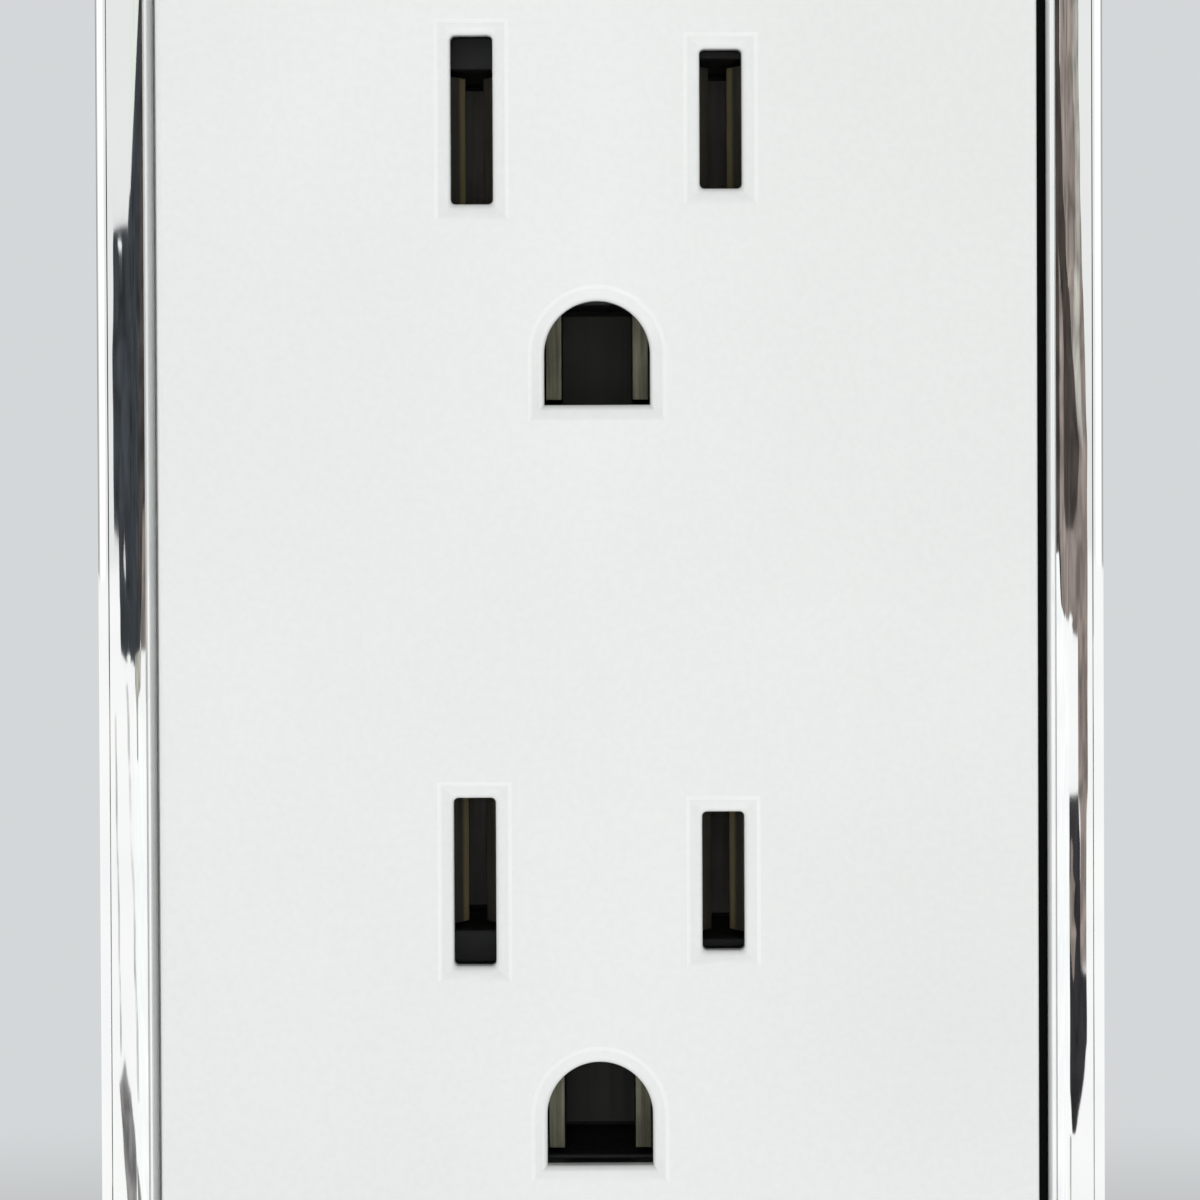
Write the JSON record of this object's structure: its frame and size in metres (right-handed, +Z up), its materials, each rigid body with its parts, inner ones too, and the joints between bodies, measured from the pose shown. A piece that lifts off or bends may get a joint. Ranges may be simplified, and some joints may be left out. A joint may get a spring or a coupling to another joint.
{
  "type": "double wall socket",
  "caption": "Flush double wall socket with a glossy white face in a slim chrome trim frame, polarised slots and earth holes.",
  "frame": {"origin": "midway between the two fixing screws, on the wall's surface", "axes": "+Z up, +Y into the wall, so the face looks along -Y, and +X to the right seen from the front"},
  "size_m": [0.0514, 0.0303, 0.0944],
  "materials": {
    "chrome_plate": "bright chrome plate",
    "white_face": "glossy white moulding",
    "black_inner": "matt black moulding",
    "zinc_steel": "zinc plated steel",
    "dark_body": "satin dark moulding",
    "contact_brass": "dull rolled brass",
    "brass_screw": "bright turned brass",
    "nickel_screw": "nickel plate",
    "green_screw": "green dyed plate",
    "zinc_screw": "bright zinc plate",
    "fibre_washer": "pressed fibre"
  },
  "bodies": {
    "root": {"chrome_frame": "chrome_plate", "front_cover": "white_face", "contact_cover": "black_inner", "yoke": "zinc_steel", "rear_body": "dark_body", "neutral_contact": "contact_brass", "hot_contact": "contact_brass", "earth_contact": "contact_brass", "earth_rivet": "contact_brass", "neutral_terminal_screws": "nickel_screw", "hot_terminal_screws": "brass_screw", "earth_terminal_screw": "green_screw", "neutral_clamp_upper": "nickel_screw", "neutral_clamp_lower": "nickel_screw", "hot_clamp_upper": "brass_screw", "hot_clamp_lower": "brass_screw", "earth_clamp": "zinc_steel", "mounting_screws": "zinc_screw", "screw_retainers": "fibre_washer", "body_screws": "zinc_screw"}
  },
  "joints": []
}
